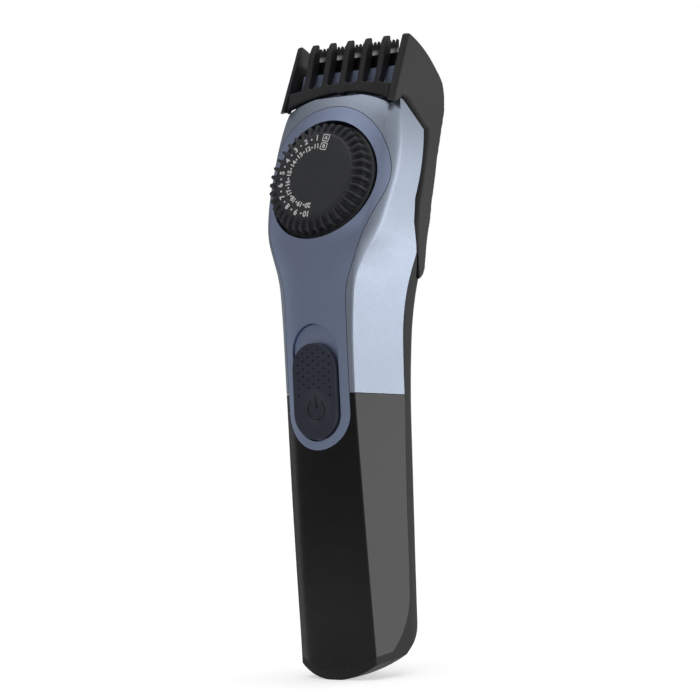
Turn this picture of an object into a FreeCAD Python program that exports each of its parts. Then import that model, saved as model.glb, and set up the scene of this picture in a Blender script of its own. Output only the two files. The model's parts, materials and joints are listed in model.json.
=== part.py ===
import FreeCAD, Part
import math
import os

import Sketcher

V = FreeCAD.Vector

doc = FreeCAD.newDocument("BeardTrimmer")
sheet = doc.addObject("Spreadsheet::Sheet", "Dimensions")


# ---------------------------------------------------------------- driving dimensions (mm, degrees)
# Y is negative in front of the object's middle plane and positive behind it.

DIMENSIONS = {
    # head frame: the dial's top face sits here, leaning back by head_tilt
    "dial_front": 15.55,
    "dial_height": 131.7,
    "head_tilt": 19.2,
    # shells
    "shell_wall": 1.6,
    "shell_gap": 0.15,
    "foot_bend": 25.0,
    "foot_rear": 7.05,
    "foot_bow": 20.0,
    "foot_drop": 0.11,
    "rim_bend": 20.0,
    "rim_rear": 0.3,
    "rim_band": 2.0,
    "split_height": 74.7,
    "split_slope": 4.0,
    "keyhole_round": 19.2,
    "keyhole_height": 131.0,
    "keyhole_strip": 9.7,
    "keyhole_blend": 22.0,
    "keyhole_bottom": 60.0,
    # dial
    "dial_face": 11.8,
    "dial_crest": 15.2,
    "dial_flange": 16.0,
    "dial_hole": 16.6,
    "dial_bevel": 0.74,
    "dial_depth": 5.4,
    # switch
    "switch_width": 14.0,
    "switch_length": 25.6,
    "switch_low": 62.6,
    "switch_travel": 4.5,
    "switch_front": 20.1,
    # comb
    "comb_face": 5.1,
    "tooth_pitch": 5.8,
    "tooth_width": 1.9,
    "tooth_tip": 41.3,
    "slot_bottom": 28.5,
    "band_wall": 1.9,
}

# Outline of the body at each height. Columns: height, half width and reach forward of the front
# shoulder, reach of the front middle, half width and reach of the rear corner, reach of the rear
# middle, rounding of the shoulder and of the rear corner.
COLUMNS = (
    "height",
    "shoulder_half",
    "shoulder_reach",
    "front_reach",
    "corner_half",
    "corner_reach",
    "rear_reach",
    "shoulder_round",
    "corner_round",
)
STATIONS = {
    "foot": (-2.0, 12.1, 13.2, 15.8, 15.3, 5.8, 6.5, 0.6, 5.6),
    "base": (15.0, 11.8, 14.1, 16.5, 15.4, 6.0, 6.8, 0.6, 5.6),
    "calf": (31.0, 11.6, 15.0, 17.4, 15.5, 6.2, 7.0, 0.6, 5.6),
    "palm": (60.0, 11.2, 16.3, 18.7, 15.6, 6.8, 7.6, 0.6, 5.6),
    "grip": (84.0, 11.05, 16.9, 19.2, 15.9, 8.4, 9.3, 0.6, 6.4),
    "waist": (98.0, 11.55, 16.7, 19.1, 16.3, 11.0, 11.9, 0.7, 7.2),
    "neck": (105.0, 12.5, 16.4, 19.0, 17.5, 12.3, 13.1, 1.2, 7.5),
    "throat": (110.0, 14.4, 16.0, 18.8, 18.4, 13.0, 14.0, 2.5, 7.5),
    "collar": (115.0, 16.9, 15.2, 18.35, 18.8, 13.8, 14.9, 4.5, 7.5),
    "cheek": (121.0, 18.7, 13.2, 16.7, 19.2, 14.6, 15.9, 5.0, 7.5),
    "face": (131.0, 20.0, 9.0, 13.15, 19.7, 15.8, 17.1, 5.0, 7.5),
    "brow": (139.0, 19.8, 6.4, 10.4, 19.2, 16.4, 17.8, 5.0, 7.5),
    "crown": (146.0, 18.8, 4.3, 7.8, 18.0, 16.6, 18.0, 4.5, 7.5),
    "tip": (153.0, 17.2, 1.0, 3.4, 16.4, 16.6, 18.0, 4.0, 7.0),
}
for station, numbers in STATIONS.items():
    for column, number in zip(COLUMNS, numbers):
        DIMENSIONS[station + "_" + column] = number

for row, (alias, number) in enumerate(DIMENSIONS.items(), start=1):
    sheet.set("A%d" % row, alias)
    sheet.set("B%d" % row, str(number))
    sheet.setAlias("B%d" % row, alias)
doc.recompute()


def size(alias):
    """One driving dimension, read back from the sheet."""
    return float(sheet.get(alias))


def cell(alias):
    """The same dimension as an expression."""
    return "Dimensions." + alias


# ---------------------------------------------------------------- body sections


def section_numbers(station, inset):
    """The station's outline, moved inwards by inset."""
    get = {column: size(station + "_" + column) for column in COLUMNS}
    get["shoulder_half"] -= 1.1 * inset
    get["shoulder_reach"] -= 0.9 * inset
    get["front_reach"] -= inset
    get["corner_half"] -= inset
    get["corner_reach"] -= inset
    get["rear_reach"] -= inset
    get["shoulder_round"] = max(get["shoulder_round"] - inset, 0.4)
    get["corner_round"] -= inset
    return get


INSET_SHARE = {
    "shoulder_half": 1.1,
    "shoulder_reach": 0.9,
    "front_reach": 1.0,
    "corner_half": 1.0,
    "corner_reach": 1.0,
    "rear_reach": 1.0,
    "corner_round": 1.0,
}


def arc_through(half, edge_y, middle_y):
    """Centre height and radius of the arc through (-half, edge_y), (0, middle_y), (half, edge_y)."""
    sag = middle_y - edge_y
    radius = (half * half + sag * sag) / (2.0 * abs(sag))
    centre_y = middle_y - math.copysign(radius, sag)
    return centre_y, radius


def corner_centre(corner, along, inward, arc_y, arc_radius, rounding):
    """Centre of a rounding that touches the side line and an arc about (0, arc_y) from inside."""
    start = corner + inward * rounding - V(0, arc_y, 0)
    reach = arc_radius - rounding
    half_b = start.dot(along)
    root = math.sqrt(half_b * half_b - start.dot(start) + reach * reach)
    steps = (-half_b - root, -half_b + root)
    step = min(steps, key=abs)
    return corner + inward * rounding + along * step


def arc_geometry(centre, radius, first, last):
    """Counter-clockwise arc about centre from first to last."""
    circle = Part.Circle(centre, V(0, 0, 1), radius)
    start = math.atan2(first.y - centre.y, first.x - centre.x)
    end = math.atan2(last.y - centre.y, last.x - centre.x)
    return Part.ArcOfCircle(circle, start, end)


def mirrored(point):
    return V(-point.x, point.y, 0)


def section_sketch(station, inset_alias=None):
    """Closed outline of the body at one height: two shallow arcs, two sides and four roundings."""
    inset = size(inset_alias) if inset_alias else 0.0
    get = section_numbers(station, inset)
    shoulder = V(get["shoulder_half"], -get["shoulder_reach"], 0)
    corner = V(get["corner_half"], get["corner_reach"], 0)
    front_y, front_radius = arc_through(shoulder.x, shoulder.y, -get["front_reach"])
    rear_y, rear_radius = arc_through(corner.x, corner.y, get["rear_reach"])
    along = V(corner - shoulder).normalize()
    inward = V(-along.y, along.x, 0)

    soft = get["shoulder_round"]
    soft_centre = corner_centre(shoulder, along, inward, front_y, front_radius, soft)
    soft_side = soft_centre - inward * soft
    outward = V(soft_centre - V(0, front_y, 0)).normalize()
    soft_front = V(0, front_y, 0) + outward * front_radius

    wide = get["corner_round"]
    wide_centre = corner_centre(corner, along, inward, rear_y, rear_radius, wide)
    wide_side = wide_centre - inward * wide
    outward = V(wide_centre - V(0, rear_y, 0)).normalize()
    wide_rear = V(0, rear_y, 0) + outward * rear_radius

    name = station.capitalize() + ("Inside" if inset_alias else "Outside")
    sketch = doc.addObject("Sketcher::SketchObject", name)
    front = sketch.addGeometry(
        arc_geometry(V(0, front_y, 0), front_radius, mirrored(soft_front), soft_front), False
    )
    soft_right = sketch.addGeometry(arc_geometry(soft_centre, soft, soft_front, soft_side), False)
    side_right = sketch.addGeometry(Part.LineSegment(soft_side, wide_side), False)
    wide_right = sketch.addGeometry(arc_geometry(wide_centre, wide, wide_side, wide_rear), False)
    rear = sketch.addGeometry(
        arc_geometry(V(0, rear_y, 0), rear_radius, wide_rear, mirrored(wide_rear)), False
    )
    wide_left = sketch.addGeometry(
        arc_geometry(mirrored(wide_centre), wide, mirrored(wide_rear), mirrored(wide_side)), False
    )
    side_left = sketch.addGeometry(
        Part.LineSegment(mirrored(wide_side), mirrored(soft_side)), False
    )
    soft_left = sketch.addGeometry(
        arc_geometry(mirrored(soft_centre), soft, mirrored(soft_side), mirrored(soft_front)), False
    )
    ring = (front, soft_right, side_right, wide_right, rear, wide_left, side_left, soft_left)
    for this, following in zip(ring, ring[1:] + ring[:1]):
        sketch.addConstraint(Sketcher.Constraint("Tangent", this, 2, following, 1))
    sketch.addConstraint(Sketcher.Constraint("Symmetric", side_right, 1, side_left, 2, -2))
    sketch.addConstraint(Sketcher.Constraint("Symmetric", side_right, 2, side_left, 1, -2))
    sketch.addConstraint(Sketcher.Constraint("Equal", soft_right, soft_left))
    sketch.addConstraint(Sketcher.Constraint("Equal", wide_right, wide_left))

    def bind(constraint, column):
        index = sketch.addConstraint(constraint)
        text = cell(station + "_" + column)
        if inset_alias and column in INSET_SHARE:
            text += " - %s * %s" % (INSET_SHARE[column], cell(inset_alias))
        if inset_alias and column == "shoulder_round":
            text = "max(%s - %s; 0.4)" % (text, cell(inset_alias))
        sketch.setExpression("Constraints[%d]" % index, text)

    marks = (
        (shoulder, front, side_right, "shoulder", -1),
        (corner, rear, side_right, "corner", 1),
    )
    for spot, arc, side, word, facing in marks:
        point = sketch.addGeometry(Part.Point(spot), True)
        sketch.addConstraint(Sketcher.Constraint("PointOnObject", point, 1, arc))
        sketch.addConstraint(Sketcher.Constraint("PointOnObject", point, 1, side))
        bind(Sketcher.Constraint("DistanceX", -1, 1, point, 1, spot.x), word + "_half")
        ends = (-1, 1, point, 1) if facing > 0 else (point, 1, -1, 1)
        bind(Sketcher.Constraint("DistanceY", *ends, abs(spot.y)), word + "_reach")
    for arc, middle_y, column in (
        (front, -get["front_reach"], "front_reach"),
        (rear, get["rear_reach"], "rear_reach"),
    ):
        point = sketch.addGeometry(Part.Point(V(0, middle_y, 0)), True)
        sketch.addConstraint(Sketcher.Constraint("PointOnObject", point, 1, arc))
        sketch.addConstraint(Sketcher.Constraint("PointOnObject", point, 1, -2))
        ends = (-1, 1, point, 1) if middle_y > 0 else (point, 1, -1, 1)
        bind(Sketcher.Constraint("DistanceY", *ends, abs(middle_y)), column)
    bind(Sketcher.Constraint("Radius", soft_right, soft), "shoulder_round")
    bind(Sketcher.Constraint("Radius", wide_right, wide), "corner_round")
    sketch.setExpression("Placement.Base.z", cell(station + "_height"))
    return sketch


def section_loft(name, inset_alias=None):
    """Smooth body through every section."""
    loft = doc.addObject("Part::Loft", name)
    loft.Sections = [section_sketch(station, inset_alias) for station in STATIONS]
    loft.Solid = True
    loft.MaxDegree = 2
    return loft


# ---------------------------------------------------------------- small helpers

next_row = [len(DIMENSIONS) + 1]


def own(obj, prop, alias, number):
    """Puts one of a piece's own sizes in the sheet and binds the property to it."""
    row = next_row[0]
    next_row[0] += 1
    sheet.set("A%d" % row, alias)
    sheet.set("B%d" % row, str(number))
    sheet.setAlias("B%d" % row, alias)
    setattr(obj, prop, number)
    obj.setExpression(prop, cell(alias))


PLANES = {
    "X": FreeCAD.Rotation(V(1, 1, 1), 120),
    "Y": FreeCAD.Rotation(V(1, 0, 0), 90),
    "Z": FreeCAD.Rotation(),
}


def outline_sketch(name, plane, points):
    """Sketch through points; a point with four numbers is reached by an arc through the first two."""
    sketch = doc.addObject("Sketcher::SketchObject", name)
    sketch.Placement = FreeCAD.Placement(V(), PLANES[plane])
    ends = [point[-2:] for point in points]
    count = len(points)
    edges = []
    for index in range(1, count + 1):
        point = points[index % count]
        first = V(*ends[index - 1], 0)
        last = V(*ends[index % count], 0)
        if len(point) == 4:
            middle = V(point[0], point[1], 0)
            circle = Part.Circle(first, middle, last)
            forward = (middle - first).cross(last - middle).z > 0
            span = (first, last) if forward else (last, first)
            arc = arc_geometry(circle.Center, circle.Radius, *span)
            edge = sketch.addGeometry(arc, False)
            edges.append((edge, 1 if forward else 2, 2 if forward else 1, circle.Radius))
        else:
            edge = sketch.addGeometry(Part.LineSegment(first, last), False)
            edges.append((edge, 1, 2, None))
    for index, (edge, start, end, radius) in enumerate(edges):
        following = edges[(index + 1) % count]
        sketch.addConstraint(
            Sketcher.Constraint("Coincident", edge, end, following[0], following[1])
        )
        if radius:
            sketch.addConstraint(Sketcher.Constraint("Radius", edge, radius))
        for axis, value in zip("XY", points[index][-2:]):
            sketch.addConstraint(Sketcher.Constraint("Distance" + axis, -1, 1, edge, start, value))
    return sketch


def extrude(name, sketch, forward, backward=0.0):
    """Straight extrusion along the sketch's normal."""
    solid = doc.addObject("Part::Extrusion", name)
    solid.Base = sketch
    solid.DirMode = "Normal"
    solid.Solid = True
    own(solid, "LengthFwd", name + "_forward", forward)
    own(solid, "LengthRev", name + "_backward", backward)
    return solid


def prism(name, plane, points, forward, backward=0.0):
    """Extruded outline. Along X it runs from -backward to forward; along Y the other way round."""
    return extrude(name, outline_sketch(name + "Outline", plane, points), forward, backward)


def block(name, low, high):
    """Box between two corners."""
    solid = doc.addObject("Part::Box", name)
    for prop, first, last in zip(("Length", "Width", "Height"), low, high):
        own(solid, prop, "%s_%s" % (name, prop.lower()), round(last - first, 4))
    solid.Placement.Base = V(*low)
    return solid


def rod(name, radius, start, length, direction=(0, 0, 1)):
    """Cylinder from start along direction."""
    solid = doc.addObject("Part::Cylinder", name)
    own(solid, "Radius", name + "_radius", radius)
    own(solid, "Height", name + "_height", length)
    turn = FreeCAD.Rotation(V(0, 0, 1), V(*direction))
    solid.Placement = FreeCAD.Placement(V(*start), turn)
    return solid


def taper(name, first, last, start, length, direction=(0, 0, 1)):
    """Cone frustum from start along direction."""
    solid = doc.addObject("Part::Cone", name)
    own(solid, "Radius1", name + "_first", first)
    own(solid, "Radius2", name + "_last", last)
    own(solid, "Height", name + "_height", length)
    turn = FreeCAD.Rotation(V(0, 0, 1), V(*direction))
    solid.Placement = FreeCAD.Placement(V(*start), turn)
    return solid


def cut(name, base, tool):
    made = doc.addObject("Part::Cut", name)
    made.Base = base
    made.Tool = tool
    return made


def common(name, first, second):
    made = doc.addObject("Part::Common", name)
    made.Base = first
    made.Tool = second
    return made


def fuse(name, solids):
    made = doc.addObject("Part::MultiFuse", name)
    made.Shapes = solids
    made.Refine = True
    return made


def group(name, solids):
    """Separate solids kept as one group."""
    made = doc.addObject("Part::Compound", name)
    made.Links = solids
    return made


def lean(obj):
    """Moves a piece drawn in the head's own frame (x, depth behind the dial face, height) to its place."""
    obj.Placement = FreeCAD.Placement(
        V(0, -size("dial_front"), size("dial_height")),
        FreeCAD.Rotation(V(-1, 0, 0), size("head_tilt")),
    )
    obj.setExpression("Placement.Base.y", "-" + cell("dial_front"))
    obj.setExpression("Placement.Base.z", cell("dial_height"))
    obj.setExpression("Placement.Rotation.Angle", cell("head_tilt"))
    return obj


NODES = {}


def node(label, obj):
    """Names a finished piece."""
    obj.Label = label
    NODES[label] = obj
    return obj


# ---------------------------------------------------------------- body skin

FAR = 30.0
TOP = 175.0


def foot_trim(word, inset):
    """Rounded underside: a bow seen from the front and a large bend seen from the side."""
    bend = size("foot_bend")
    rear = size("foot_rear")
    floor = inset - size("foot_drop")
    middle = bend * (1.0 - math.sqrt(0.5))
    side = prism(
        word + "FootSide",
        "X",
        [
            (-FAR, floor),
            (rear - bend, floor),
            (rear - middle - 0.7 * inset, middle + 0.7 * inset, rear - inset, bend),
            (rear + 5.0 - inset, 60.0),
            (FAR, 100.0),
            (FAR, TOP),
            (-FAR, TOP),
        ],
        FAR,
        FAR,
    )
    bow = size("foot_bow")
    reach = 0.9 * bow
    rise = floor + bow - math.sqrt(bow * bow - reach * reach)
    front = prism(
        word + "FootFront",
        "Y",
        [
            (-reach, rise),
            (0.0, floor, reach, rise),
            (25.0, 60.0),
            (25.0, TOP),
            (-25.0, TOP),
            (-25.0, 60.0),
        ],
        FAR,
        FAR,
    )
    return common(word + "FootTrim", side, front)


WALL = size("shell_wall")
outside_whole = common("OutsideWhole", section_loft("OutsideLoft"), foot_trim("Outside", 0.0))
inside_whole = common("InsideWhole", section_loft("InsideLoft", "shell_wall"), foot_trim("Inside", WALL))

# Side bays for the comb, in the head's frame as (depth, height): the arms run in the rear bay and
# the comb's side walls in the front one.
ARM_BAY = [
    (19.3, 50.0),
    (19.3, -0.5),
    (21.4, -6.3),
    (25.0, -11.0),
    (30.2, -18.9),
    (30.6, -20.4),
    (36.0, -19.0),
    (36.0, -4.0),
    (29.6, 6.0),
    (28.2, 12.0),
    (28.2, 50.0),
]
WALL_BAY = [
    (-6.0, 14.5),
    (3.1, 19.7),
    (8.9, 23.75),
    (9.9, 23.85),
    (19.3, 19.0),
    (29.0, 19.0),
    (32.0, 50.0),
    (-6.0, 50.0),
]
ARM_FLOOR = 14.8
WALL_FLOOR = 16.2


def grown(points, amount):
    """The same outline pushed outwards."""
    wire = Part.makePolygon([V(x, y, 0) for x, y in points + points[:1]])
    bigger = wire.makeOffset2D(amount, 2)
    corners = [vertex.Point for vertex in bigger.OrderedVertexes]
    return [(round(corner.x, 3), round(corner.y, 3)) for corner in corners]


def side_slabs(word, points, floor):
    """Matching slabs beyond the floor on both sides."""
    right = prism(word + "Right", "X", points, FAR, -floor)
    left = prism(word + "Left", "X", points, -floor, FAR)
    return [right, left]


def bay(word, grow):
    slabs = side_slabs(word + "ArmBay", grown(ARM_BAY, grow) if grow else ARM_BAY, ARM_FLOOR - grow)
    slabs += side_slabs(word + "WallBay", grown(WALL_BAY, grow) if grow else WALL_BAY, WALL_FLOOR - grow)
    return lean(fuse(word + "Bay", slabs))


# The band of the comb passes over the forehead, so the shells stop below an arch in front and at a
# level lid behind it.
ARCH_ROUND = 38.0
ARCH_TOP = 25.0
LID = 24.5


def crown_cut():
    drop = ARCH_ROUND - math.sqrt(ARCH_ROUND**2 - 22.0**2)
    arch = prism(
        "CrownArch",
        "Y",
        [(-22.0, ARCH_TOP - drop), (0.0, ARCH_TOP, 22.0, ARCH_TOP - drop), (22.0, 60.0), (-22.0, 60.0)],
        10.0,
        8.6,
    )
    lid = block("crown_lid", (-FAR, 8.0, LID), (FAR, 60.0, 60.0))
    return lean(fuse("CrownCut", [arch, lid]))


trimmed = cut("OutsideTrimmed", outside_whole, crown_cut())
outside = cut("OutsideBody", trimmed, bay("Outer", 0.0))
inside = cut("InsideBody", inside_whole, bay("Inner", 1.5))
skin = cut("Skin", outside, inside)

# ---------------------------------------------------------------- shells

# Seam between the front pieces and the rear shell, seen from the side as (y, height).
RIM = size("rim_bend")
REAR = size("rim_rear")
cover_side = prism(
    "CoverSide",
    "X",
    [
        (-FAR, size("rim_band")),
        (-REAR - RIM, size("rim_band")),
        (-REAR - RIM * (1 - math.sqrt(0.5)), size("rim_band") + RIM * (1 - math.sqrt(0.5)), -REAR, 22.0),
        (0.8, 72.0),
        (1.4, 88.0, 3.2, 102.0),
        (5.4, 112.9),
        (4.2, 117.5),
        (4.6, 124.8),
        (12.5, 147.5),
        (18.0, TOP),
        (-FAR, TOP),
    ],
    FAR,
    FAR,
)
BOW = size("foot_bow")
RIM_RISE = size("rim_band") + BOW - math.sqrt(BOW**2 - 18.0**2)
cover_front = prism(
    "CoverFront",
    "Y",
    [
        (-18.0, RIM_RISE),
        (0.0, size("rim_band"), 18.0, RIM_RISE),
        (25.0, 60.0),
        (25.0, TOP),
        (-25.0, TOP),
        (-25.0, 60.0),
    ],
    FAR,
    FAR,
)
cover_zone = common("CoverZone", cover_side, cover_front)


def keyhole(name, grow):
    """Prism of the keyhole panel: a round head, straight flanks, a strip and a round bottom."""
    radius = size("keyhole_round") + grow
    strip = size("keyhole_strip") + grow
    height = size("keyhole_height")
    blend = size("keyhole_blend") - grow
    low = size("keyhole_bottom") + size("keyhole_strip")
    flank = math.radians(20.6)
    touch = V(radius * math.cos(flank), height - radius * math.sin(flank), 0)
    reach = (touch.x - strip) / math.tan(flank)
    meet = touch.y - reach
    length = blend * math.tan(flank / 2.0)
    upper = (strip + length * math.sin(flank), meet + length * math.cos(flank))
    lower = (strip, meet - length)
    mid = flank / 2.0
    middle = (
        strip + blend * (1.0 - math.cos(mid)),
        lower[1] + blend * math.sin(mid),
    )
    points = [
        (-strip, low),
        (0.0, low - strip, strip * 0.999, low),
        lower,
        (middle[0], middle[1], upper[0], upper[1]),
        (touch.x, touch.y),
        (0.0, height + radius, -touch.x, touch.y),
        (-upper[0], upper[1]),
        (-middle[0], middle[1], -lower[0], lower[1]),
    ]
    return prism(name, "Y", points, 26.0, 0.0)


SLOPE = math.tan(math.radians(size("split_slope")))
SPLIT = size("split_height")


def split_zone(name, shift, upper):
    """Everything above or below the sloping colour split."""
    front = SPLIT + shift + SLOPE * (FAR - 16.9)
    back = SPLIT + shift - SLOPE * (FAR + 16.9)
    far = TOP if upper else -5.0
    return prism(name, "X", [(-FAR, front), (FAR, back), (FAR, far), (-FAR, far)], FAR, FAR)


lug_slots = lean(
    group(
        "LugSlots",
        [
            block("lug_slot_right", (12.0, 21.0, -2.5), (16.0, 26.0, 14.6)),
            block("lug_slot_left", (-16.0, 21.0, -2.5), (-12.0, 26.0, 14.6)),
        ],
    )
)
GAP = size("shell_gap")
covers = common("Covers", skin, cover_zone)
covers_open = cut("CoversOpen", covers, keyhole("KeyholeGap", GAP))
above_split = common("CoversAbove", covers_open, split_zone("AboveSplit", GAP / 2, True))
node("upper_shell", cut("UpperShell", above_split, lug_slots))

BOSS_PLACES = [(-7.2, 96.0), (7.2, 96.0), (-7.2, 18.3), (7.2, 18.3)]


def bossed(name, blank, places, front):
    """Adds screw bosses with blind bores, from inside the front wall to the chassis."""
    posts = []
    bores = []
    for index, (x, z) in enumerate(places):
        word = "%s_%d" % (name, index)
        posts.append(rod(word + "_post", 1.8, (x, front, z), -11.95 - front, (0, 1, 0)))
        bores.append(rod(word + "_bore", 0.82, (x, -14.2, z), 3.0, (0, 1, 0)))
    return cut(name, fuse(name + "Posts", [blank] + posts), group(name + "Bores", bores))


below_split = common("CoversBelow", covers_open, split_zone("BelowSplit", -GAP / 2, False))
node("lower_cover", bossed("LowerCover", below_split, BOSS_PLACES[2:], -14.9))


def stadium(name, width, low, high, front, back):
    """Upright stadium between two heights, from front to back along Y."""
    half = width / 2.0
    side = 0.9999 * half
    points = [
        (-half, low + half),
        (0.0, low, side, low + half),
        (side, high - half),
        (0.0, high, -half, high - half),
    ]
    return prism(name, "Y", points, front, -back)


SWITCH_LOW = size("switch_low")
SWITCH_HIGH = SWITCH_LOW + size("switch_length")
SWITCH_WIDTH = size("switch_width")
TRAVEL = size("switch_travel")
switch_window = stadium(
    "SwitchWindow", SWITCH_WIDTH + 0.6, SWITCH_LOW - 0.3, SWITCH_HIGH + TRAVEL + 0.3, 26.0, 10.0
)
dial_hole = lean(group("DialHole", [rod("dial_hole_bore", size("dial_hole"), (0, -8, 0), 28.0, (0, 1, 0))]))
panel_blank = common("PanelBlank", covers, keyhole("KeyholeBody", 0.0))
panel_window = cut("PanelWindow", panel_blank, switch_window)
panel_holed = cut("PanelHoled", panel_window, dial_hole)
node("front_panel", bossed("FrontPanel", panel_holed, BOSS_PLACES[:2], -17.2))

rear_blank = cut("RearBlank", skin, cover_side)
rear_rim = cut("RearRim", common("RimSkin", skin, cover_side), cover_front)
rear_whole = fuse("RearWhole", [rear_blank, rear_rim])

SOCKET = -9.0
socket_hole = rod("socket_hole", 4.6, (0, SOCKET, -1.0), 9.5)
node("rear_shell", cut("RearShell", cut("RearSocketed", rear_whole, socket_hole), lug_slots))

# ---------------------------------------------------------------- switch

SWITCH_BACK = 17.75
switch_plan = stadium(
    "SwitchPlan", SWITCH_WIDTH, SWITCH_LOW, SWITCH_HIGH, size("switch_front") + 1.0, SWITCH_BACK
)
SWITCH_CROWN = 46.0
crown_front = rod("switch_crown", SWITCH_CROWN, (0, SWITCH_CROWN - size("switch_front"), 40.0), 70.0)
switch_body = common("SwitchBody", switch_plan, crown_front)

DIMPLE = 0.62
dimples = []
for line in range(7):
    columns = 3 if line % 2 else 4
    for column in range(columns):
        across = (column - (columns - 1) / 2.0) * 2.9
        up = SWITCH_LOW + 12.4 + line * 1.75
        front = size("switch_front") - SWITCH_CROWN + math.sqrt(SWITCH_CROWN**2 - across**2)
        word = "dimple_%d_%d" % (line, column)
        dimples.append(taper(word, DIMPLE, 0.2, (across, -front - 0.05, up), 0.5, (0, 1, 0)))
switch_leg = block("switch_leg", (-1.5, -18.2, 71.0), (1.5, -14.1, 74.5))
dimpled = cut("SwitchDimpled", switch_body, group("Dimples", dimples))
node("power_switch", fuse("PowerSwitch", [dimpled, switch_leg]))

bed_slot = block("bed_slot", (-1.9, -18.0, 70.6), (1.9, -14.0, 79.5))
bed_plate = block("bed_plate", (-8.2, -15.4, 58.5), (8.2, -14.4, 93.6))
bed_pad = stadium(
    "BedPad", SWITCH_WIDTH + 0.2, SWITCH_LOW - 0.1, SWITCH_HIGH + TRAVEL + 0.1, SWITCH_BACK - 0.15, 15.0
)
node("switch_bed", cut("SwitchBed", fuse("BedBody", [bed_plate, bed_pad]), bed_slot))

# ---------------------------------------------------------------- dial, drawn along its own axis

D_FACE = size("dial_face")
D_CREST = size("dial_crest")
D_FLANGE = size("dial_flange")
D_BEVEL = size("dial_bevel")
D_DEPTH = size("dial_depth")
BACK = (0, 1, 0)

dial_stack = [
    taper("dial_top", D_FACE + 0.2, D_CREST, (0, 0, 0), D_BEVEL, BACK),
    taper("dial_side", D_CREST, D_CREST + 0.4, (0, D_BEVEL, 0), D_DEPTH - 1.2 - D_BEVEL, BACK),
    rod("dial_foot", D_FLANGE, (0, D_DEPTH - 1.2, 0), 1.2, BACK),
    rod("dial_hub", 3.4, (0, D_DEPTH - 0.2, 0), 1.9, BACK),
]
RIDGES = 38
notches = []
for index in range(RIDGES):
    angle = 2.0 * math.pi * (index + 0.5) / RIDGES
    spot = ((D_CREST + 0.55) * math.sin(angle), -0.5, (D_CREST + 0.55) * math.cos(angle))
    notches.append(rod("dial_notch_%d" % index, 0.78, spot, D_DEPTH - 0.8, BACK))
dial_ridged = cut("DialRidged", fuse("DialStack", dial_stack), group("DialNotches", notches))
dial_bore = rod("dial_shaft_bore", 1.5, (0, 3.0, 0), 6.0, BACK)
node("dial_knob", lean(cut("DialKnob", dial_ridged, dial_bore)))

seat_plate = rod("seat_plate", 16.4, (0, 5.75, 0), 1.5, BACK)
seat_bore = rod("seat_bore", 3.45, (0, 5.0, 0), 4.0, BACK)
node("dial_seat", lean(cut("DialSeat", seat_plate, seat_bore)))

node("dial_shaft", lean(group("DialShaft", [rod("dial_axle", 1.5, (0, 3.0, 0), 13.2, BACK)])))

WHEEL = 7.0
wheel_notches = []
for index in range(19):
    angle = math.radians(19.2 * index)
    spot = (WHEEL * math.sin(angle), 7.5, WHEEL * math.cos(angle))
    wheel_notches.append(rod("wheel_notch_%d" % index, 0.7, spot, 3.0, BACK))
wheel_plate = rod("wheel_plate", WHEEL, (0, 8.0, 0), 1.6, BACK)
wheel_bore = rod("wheel_bore", 1.5, (0, 7.0, 0), 4.0, BACK)
wheel_cut = cut("WheelNotched", wheel_plate, group("WheelNotches", wheel_notches))
node("detent_wheel", lean(cut("DetentWheel", wheel_cut, wheel_bore)))
spring_leaf = block("spring_leaf", (-7.0, 8.1, -8.3), (7.0, 9.5, -7.8))
spring_nose = rod("spring_nose", 0.5, (0, 8.1, -7.75), 1.4, BACK)
node("detent_spring", lean(fuse("DetentSpring", [spring_leaf, spring_nose])))

# ---------------------------------------------------------------- pinion, rack and carriage

MODULE = 0.6
TEETH = 10
PITCH = math.pi * MODULE
PITCH_RADIUS = MODULE * TEETH / 2.0
PINION_FRONT = 12.0
PINION_WIDE = 3.0
TOOTH_ROOT = 0.5
TOOTH_TIP = 0.18


def pinion_outline():
    """Ten short straight-flanked teeth on a round root."""
    root = PITCH_RADIUS - 0.6
    tip = PITCH_RADIUS + 0.42
    points = []
    for index in range(TEETH):
        middle = 2.0 * math.pi * (index + 0.5) / TEETH
        for radius, half in ((root, -TOOTH_ROOT), (tip, -TOOTH_TIP), (tip, TOOTH_TIP), (root, TOOTH_ROOT)):
            angle = middle + half / radius
            points.append((round(radius * math.sin(angle), 4), round(radius * math.cos(angle), 4)))
    return points


pinion_blank = prism("PinionBlank", "Y", pinion_outline(), -PINION_FRONT, PINION_FRONT + PINION_WIDE)
pinion_bore = rod("pinion_bore", 1.5, (0, 10.0, 0), 8.0, BACK)
node("pinion", lean(cut("Pinion", pinion_blank, pinion_bore)))


def rack_teeth():
    """Teeth along the carriage window, on the side of rising travel."""
    teeth = []
    foot = -PITCH_RADIUS - 0.55
    tip = -PITCH_RADIUS + 0.42
    for index in range(7):
        level = -PITCH * (index - 0.5)
        points = [
            (foot - 0.5, level - TOOTH_ROOT),
            (foot, level - TOOTH_ROOT),
            (tip, level - TOOTH_TIP),
            (tip, level + TOOTH_TIP),
            (foot, level + TOOTH_ROOT),
            (foot - 0.5, level + TOOTH_ROOT),
        ]
        teeth.append(
            prism("RackTooth%d" % index, "Y", points, -PINION_FRONT - 0.1, PINION_FRONT + PINION_WIDE - 0.1)
        )
    return teeth


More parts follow.
